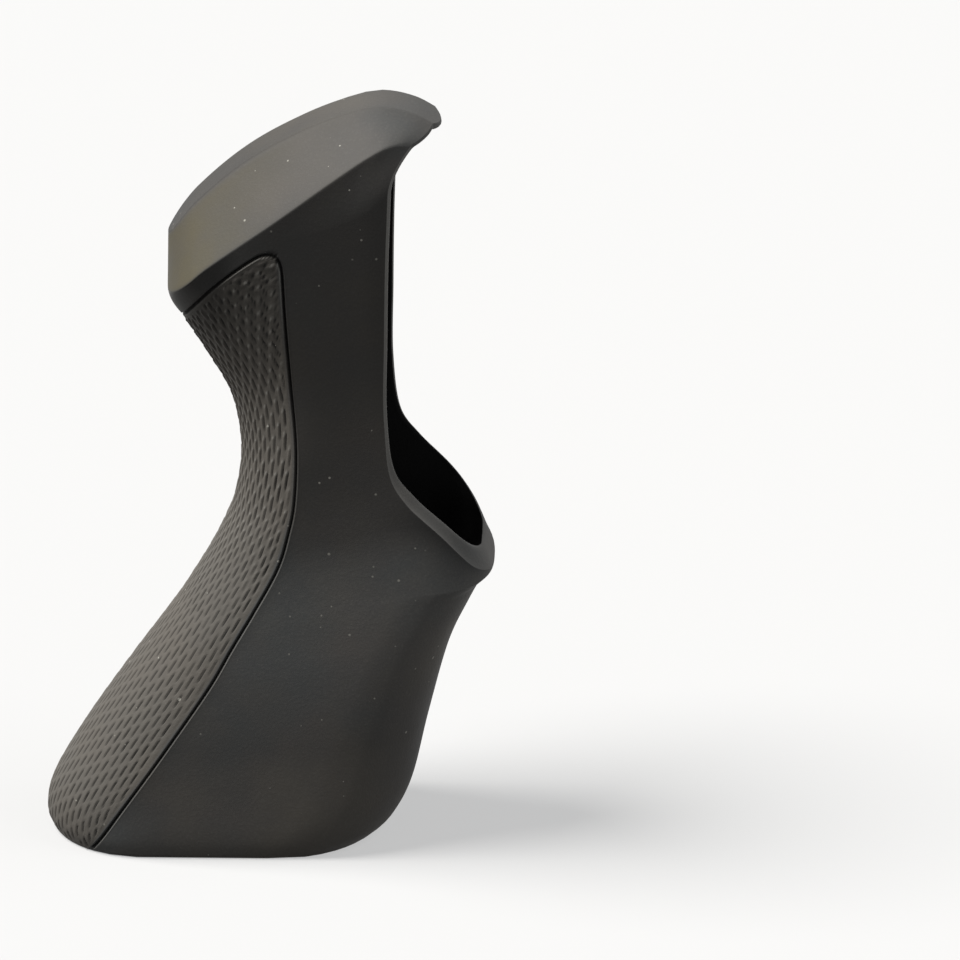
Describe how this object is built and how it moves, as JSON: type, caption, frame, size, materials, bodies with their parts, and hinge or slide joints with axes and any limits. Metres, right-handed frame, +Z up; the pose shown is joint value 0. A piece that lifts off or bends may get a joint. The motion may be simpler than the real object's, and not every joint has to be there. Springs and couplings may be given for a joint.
{
  "type": "brake lever hood",
  "caption": "Hollow rubber grip cover for a road brake lever body, with a raised horn, a textured palm pad, a lever opening and a handlebar mouth",
  "frame": {"origin": "centre of the overall box in X and Y, on the plane of the handlebar mouth rim that it stands on", "axes": "+Z up from the mouth rim to the horn, +X from the palm side to the lever opening, Y across the hood"},
  "size_m": [0.0704, 0.033, 0.1186],
  "materials": {
    "hood_rubber": "matte moulded rubber"
  },
  "bodies": {
    "root": {"hood": "hood_rubber"}
  },
  "joints": []
}
